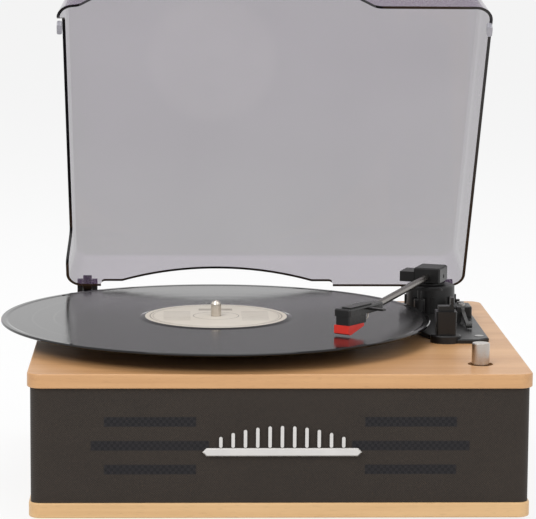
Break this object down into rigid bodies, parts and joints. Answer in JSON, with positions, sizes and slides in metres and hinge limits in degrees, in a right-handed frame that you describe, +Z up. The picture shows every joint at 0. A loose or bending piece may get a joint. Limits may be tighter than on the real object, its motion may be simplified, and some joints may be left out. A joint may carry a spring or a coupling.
{
  "type": "record player",
  "caption": "Table-top record player: wooden deck and base round a cloth-wrapped speaker cabinet, belt-driven platter, straight tonearm, volume knob and hinged smoked lid.",
  "frame": {"origin": "under the middle of the whole object's bounding box, on the floor", "axes": "+Z up along the spindle, +X to the right as seen from the front, +Y to the back"},
  "size_m": [0.356, 0.317, 0.3434],
  "materials": {
    "oak_top": "satin lacquer",
    "oak_base": "satin lacquer",
    "board": "raw fibreboard",
    "speaker_cloth": "open weave",
    "black_plastic": "fine texture",
    "gloss_black": "polished",
    "vinyl": "grooved",
    "label_paper": "matt print",
    "smoked_plastic": "clear, tinted",
    "steel": "plain",
    "arm_metal": "dark nickel",
    "knob_metal": "brushed",
    "trim_metal": "satin",
    "brass": "turned",
    "platter_plastic": "moulded",
    "mat_rubber": "matt",
    "rubber": "matt",
    "clear_rubber": "soft",
    "red_plastic": "bright",
    "board_green": "solder mask",
    "cone_paper": "pressed pulp",
    "ferrite": "ground"
  },
  "bodies": {
    "cabinet": {"bottom_panel": "oak_base", "top_panel": "oak_top", "front_baffle": "board", "back_panel": "board", "left_side": "board", "right_side": "board", "corner_blocks": "board", "base_screws": "steel", "cloth_wrap": "speaker_cloth", "feet": "rubber", "trim_bar": "trim_metal", "trim_fins": "trim_metal", "speaker_frames": "steel", "speaker_cones": "cone_paper", "speaker_magnets": "ferrite", "bearing_housing": "brass", "drive_belt": "rubber", "motor_bracket": "steel", "motor": "steel", "tonearm_base": "black_plastic", "tonearm_screws": "steel", "pivot_turret": "black_plastic", "switch_housing": "black_plastic", "arm_rest": "black_plastic", "lift_guide": "black_plastic", "cue_post": "black_plastic", "volume_pot": "steel", "jack_plate": "black_plastic", "rca_jacks": "steel", "aux_jack": "black_plastic", "dc_inlet": "black_plastic", "circuit_board": "board_green", "hinge_blocks": "black_plastic", "hinge_pins": "steel"},
    "turning_platter": {"platter": "platter_plastic", "platter_mat": "mat_rubber", "record": "vinyl", "record_label": "label_paper", "spindle": "steel"},
    "drive_pulley": {"motor_pulley": "brass", "motor_shaft": "steel"},
    "arm_pivot": {"arm_swivel": "black_plastic"},
    "arm": {"arm_block": "black_plastic", "arm_pivot_pin": "steel", "tonearm_tube": "arm_metal", "headshell": "black_plastic", "finger_lift": "black_plastic", "cartridge": "black_plastic", "stylus": "red_plastic", "counterweight": "steel", "cartridge_leads": "steel"},
    "lifter": {"lift_platform": "black_plastic"},
    "cue": {"cue_lever": "black_plastic"},
    "speed_slider": {"speed_selector": "black_plastic"},
    "stop_slider": {"auto_stop_switch": "black_plastic"},
    "volume": {"volume_knob": "knob_metal", "pot_shaft": "steel"},
    "lid_shell": {"lid": "smoked_plastic", "lid_knuckles": "black_plastic", "lid_bumpers": "clear_rubber"}
  },
  "joints": [
    {"name": "platter_spin", "type": "hinge", "parent": "cabinet", "child": "turning_platter", "pos_m": [-0.027, -0.00558, 0.1135], "axis": [0, 0, -1], "continuous": true},
    {"name": "pulley_spin", "type": "hinge", "parent": "cabinet", "child": "drive_pulley", "pos_m": [-0.08762, -0.04803, 0.1037], "axis": [0, 0, -1], "continuous": true},
    {"name": "arm_swing", "type": "hinge", "parent": "cabinet", "child": "arm_pivot", "pos_m": [0.134, 0.08842, 0.129], "axis": [0, 0, 1], "range_deg": [-20.2, 19.5]},
    {"name": "arm_lift", "type": "hinge", "parent": "arm_pivot", "child": "arm", "pos_m": [0.134, 0.08842, 0.129], "axis": [-0.9391, 0.3437, 0], "range_deg": [0, 1.4]},
    {"name": "cue_turn", "type": "hinge", "parent": "cabinet", "child": "cue", "pos_m": [0.152, 0.03242, 0.1107], "axis": [-1, 0, 0], "range_deg": [0, 50]},
    {"name": "platform_rise", "type": "slide", "parent": "cabinet", "child": "lifter", "axis": [0, 0, 1], "range_m": [0, 0.00343]},
    {"name": "speed_slide", "type": "slide", "parent": "cabinet", "child": "speed_slider", "axis": [0, 1, 0], "range_m": [0, 0.006]},
    {"name": "stop_slide", "type": "slide", "parent": "cabinet", "child": "stop_slider", "axis": [0, 1, 0], "range_m": [0, 0.004]},
    {"name": "volume_turn", "type": "hinge", "parent": "cabinet", "child": "volume", "pos_m": [0.147, -0.12008, 0.1005], "axis": [0, 0, -1], "range_deg": [0, 300]},
    {"name": "lid_hinge", "type": "hinge", "parent": "cabinet", "child": "lid_shell", "pos_m": [0.013, 0.14142, 0.1133], "axis": [1, 0, 0], "range_deg": [0, 55]}
  ],
  "couplings": [
    {"joint": "pulley_spin", "follows": "platter_spin", "ratio": 9.1667},
    {"joint": "arm_lift", "follows": "cue_turn", "ratio": 0.028},
    {"joint": "platform_rise", "follows": "cue_turn", "m_per_rad": 0.0039352}
  ]
}
